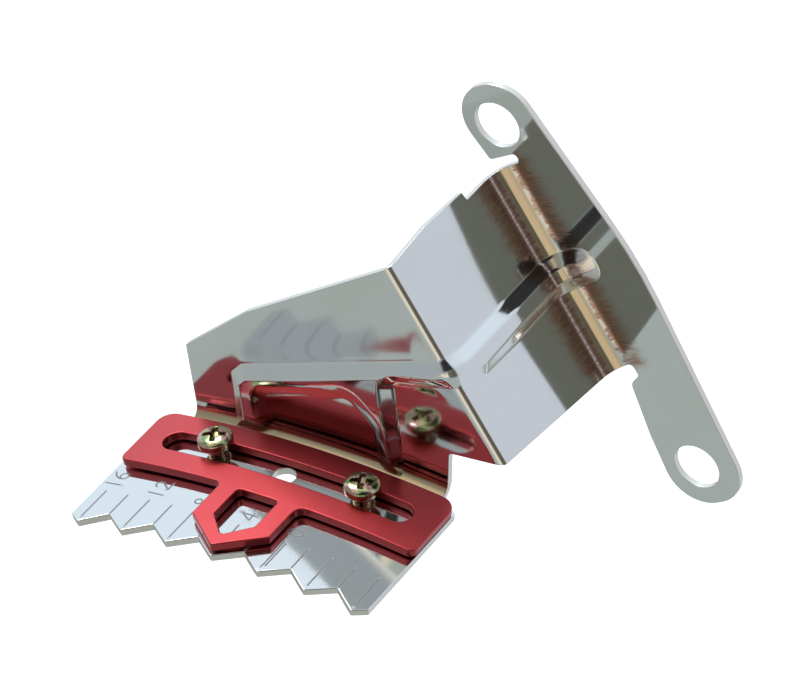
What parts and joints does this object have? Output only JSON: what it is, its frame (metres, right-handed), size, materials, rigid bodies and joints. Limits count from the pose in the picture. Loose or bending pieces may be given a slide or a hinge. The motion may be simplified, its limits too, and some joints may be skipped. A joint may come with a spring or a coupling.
{
  "type": "adjustable ignition timing tab",
  "caption": "Bent sheet-steel engine timing tab with a toothed degree scale, bolt-on flange and a sliding red pointer clamped by screws.",
  "frame": {"origin": "midway between the two bolt holes, on the back face of the flange", "axes": "+Z away from the crankshaft at the middle of the scale, +Y out of the flange's back towards the engine, -Y towards the toothed edge of the scale"},
  "size_m": [0.0766, 0.0556, 0.0638],
  "materials": {
    "plated_steel": "bright chrome plate",
    "red_aluminium": "red anodised, satin",
    "yellow_zinc": "yellow chromate over zinc, glossy"
  },
  "bodies": {
    "bracket": {"bracket": "plated_steel", "lock_washer_left": "yellow_zinc", "lock_washer_right": "yellow_zinc"},
    "pointer": {"pointer": "red_aluminium"},
    "screw_left": {"screw_left": "yellow_zinc"},
    "screw_right": {"screw_right": "yellow_zinc"},
    "nut_left": {"nut_left": "yellow_zinc"},
    "nut_right": {"nut_right": "yellow_zinc"}
  },
  "joints": [
    {"name": "pointer_slide", "type": "hinge", "parent": "bracket", "child": "pointer", "pos_m": [-0.03127, 0, -0.17177], "axis": [0, 1, 0], "range_deg": [-2.3, 2.6]},
    {"name": "screw_left_turn", "type": "hinge", "parent": "bracket", "child": "screw_left", "pos_m": [-0.04246, -0.0366, -0.01667], "axis": [-0.072, 0, 0.9974], "range_deg": [-1, 721]},
    {"name": "screw_right_turn", "type": "hinge", "parent": "bracket", "child": "screw_right", "pos_m": [-0.01849, -0.0366, -0.0168], "axis": [0.0822, 0, 0.9966], "range_deg": [-1, 721]},
    {"name": "nut_left_travel", "type": "slide", "parent": "bracket", "child": "nut_left", "axis": [-0.072, 0, 0.9974], "range_m": [-0.001, 0]},
    {"name": "nut_right_travel", "type": "slide", "parent": "bracket", "child": "nut_right", "axis": [0.0822, 0, 0.9966], "range_m": [-0.001, 0]}
  ],
  "couplings": [
    {"joint": "screw_left_turn", "follows": "nut_left_travel", "rad_per_m": -12566},
    {"joint": "screw_right_turn", "follows": "nut_right_travel", "rad_per_m": -12566}
  ]
}
